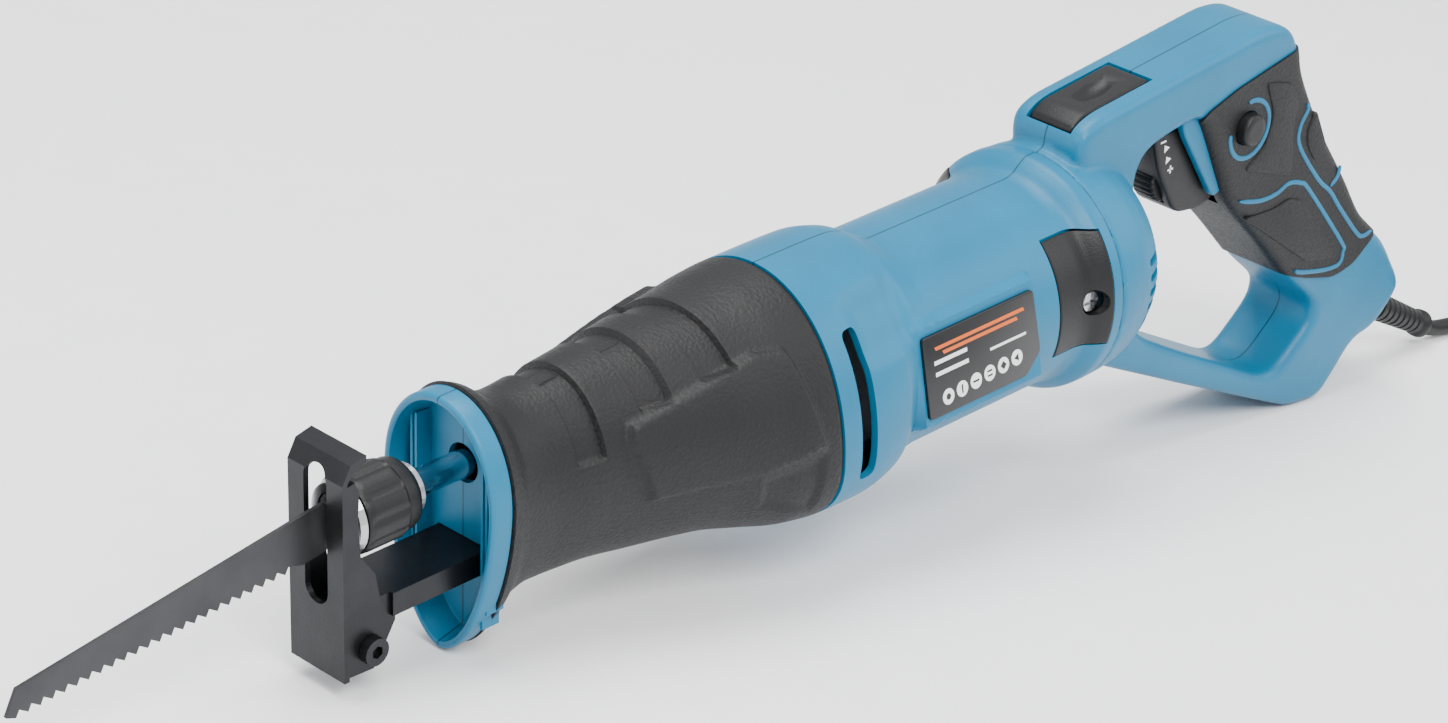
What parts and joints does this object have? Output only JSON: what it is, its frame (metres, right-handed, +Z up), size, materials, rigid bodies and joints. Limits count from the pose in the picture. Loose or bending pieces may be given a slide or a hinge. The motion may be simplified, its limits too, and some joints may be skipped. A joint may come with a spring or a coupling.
{
  "type": "reciprocating saw",
  "caption": "Corded reciprocating saw with a swivelling D-handle, rubber-booted gear housing, keyless blade clamp, pivoting shoe and wood blade.",
  "frame": {"origin": "on the floor under the middle of the tool, its cord left out", "axes": "+X toward the blade tip, +Y to the operator's left, +Z up; the tool's own long axis leans 8.2 degrees nose-down"},
  "size_m": [0.8283, 0.1646, 0.1588],
  "materials": {
    "blue_housing": "fine satin texture, sky blue",
    "black_plastic": "fine spark texture",
    "soft_rubber": "soft leathery grain",
    "chrome_rod": "ground and plated",
    "bright_steel": "turned or ground",
    "black_steel": "black oxide, satin",
    "cast_case": "as cast",
    "bronze": "sintered",
    "copper": "enamelled and turned copper",
    "graphite": "pressed carbon"
  },
  "bodies": {
    "handle": {"handle_shell_left": "blue_housing", "handle_shell_right": "blue_housing", "grip_pad_left": "soft_rubber", "grip_pad_right": "soft_rubber", "switch_body": "black_plastic", "trigger_spring": "bright_steel", "strain_relief": "soft_rubber", "cord_lead": "soft_rubber", "cord_coil": "soft_rubber", "plug_body": "black_plastic", "plug_pin_a": "chrome_rod", "plug_pin_b": "chrome_rod"},
    "release": {"release_button": "black_plastic"},
    "trigger": {"trigger": "black_plastic"},
    "dial": {"speed_dial": "black_plastic"},
    "lock": {"lock_button": "black_plastic"},
    "front": {"front_shell_left": "blue_housing", "front_shell_right": "blue_housing", "rubber_boot_left": "soft_rubber", "rubber_boot_right": "soft_rubber", "label_plate_left": "black_plastic", "label_plate_right": "black_plastic", "brush_cover_left": "black_plastic", "brush_cover_right": "black_plastic", "cover_screw_left": "bright_steel", "cover_screw_right": "bright_steel", "swivel_ring": "bright_steel", "rear_bearing_carrier": "black_plastic", "rear_motor_bearing": "bright_steel", "front_motor_bearing": "bright_steel", "stator": "bright_steel", "brush_holder_left": "bronze", "brush_holder_right": "bronze", "carbon_brush_left": "graphite", "carbon_brush_right": "graphite", "gear_case": "cast_case", "gear_case_lid": "cast_case", "gear_spindle": "bright_steel", "gear_bearing": "bright_steel", "rear_plunger_bush": "bronze", "front_plunger_bush": "bronze", "bush_block": "cast_case", "guide_bar": "black_steel", "guide_bar_screw": "bright_steel", "shoe_pivot_bolt": "black_steel"},
    "armature": {"armature_shaft": "bright_steel", "armature_core": "bright_steel", "armature_winding": "copper", "commutator": "copper", "cooling_fan": "black_plastic", "pinion": "bright_steel"},
    "gear": {"face_gear": "bright_steel", "crank_pin": "bright_steel"},
    "plunger": {"plunger": "chrome_rod", "plunger_yoke": "bright_steel", "clamp_core": "bright_steel"},
    "collar": {"clamp_collar": "black_plastic", "collar_ring": "bright_steel"},
    "blade": {"saw_blade": "black_steel"},
    "shoe": {"shoe": "black_steel"}
  },
  "joints": [
    {"name": "handle_swivel", "type": "hinge", "parent": "handle", "child": "front", "pos_m": [-0.10974, 0, 0.08015], "axis": [0.9899, 0, -0.1421], "range_deg": [-90, 90]},
    {"name": "swivel_release", "type": "slide", "parent": "handle", "child": "release", "axis": [-0.1421, 0, -0.9899], "range_m": [0, 0.004], "stiffness_N_per_m": 300, "springref_m": -0.002},
    {"name": "trigger_pull", "type": "slide", "parent": "handle", "child": "trigger", "axis": [-0.9899, 0, 0.1421], "range_m": [0, 0.006], "stiffness_N_per_m": 400, "springref_m": -0.002, "deforming": ["trigger_spring"]},
    {"name": "speed_dial_turn", "type": "hinge", "parent": "trigger", "child": "dial", "pos_m": [-0.17619, 0, 0.10282], "axis": [0, 1, 0], "range_deg": [-100, 100]},
    {"name": "lock_on_press", "type": "slide", "parent": "handle", "child": "lock", "axis": [0, -1, 0], "range_m": [0, 0.003], "stiffness_N_per_m": 200, "springref_m": -0.002},
    {"name": "armature_spin", "type": "hinge", "parent": "front", "child": "armature", "pos_m": [-0.05035, 0, 0.07162], "axis": [0.9899, 0, -0.1421], "continuous": true},
    {"name": "gear_spin", "type": "hinge", "parent": "front", "child": "gear", "pos_m": [0.02884, 0, 0.06026], "axis": [0.1421, 0, 0.9899], "continuous": true},
    {"name": "plunger_stroke", "type": "slide", "parent": "front", "child": "plunger", "axis": [0.9899, 0, -0.1421], "range_m": [-0.02, 0]},
    {"name": "clamp_twist", "type": "hinge", "parent": "plunger", "child": "collar", "pos_m": [0.19013, 0, 0.05782], "axis": [0.9899, 0, -0.1421], "range_deg": [0, 60], "stiffness_Nm_per_rad": 0.05, "springref_deg": -11.46},
    {"name": "blade_pull", "type": "slide", "parent": "plunger", "child": "blade", "axis": [0.9899, 0, -0.1421], "range_m": [0, 0.025]},
    {"name": "shoe_pivot", "type": "hinge", "parent": "front", "child": "shoe", "pos_m": [0.19754, 0, 0.01584], "axis": [0, 1, 0], "range_deg": [0, 12]}
  ],
  "couplings": [
    {"joint": "gear_spin", "follows": "armature_spin", "ratio": 0.25}
  ]
}
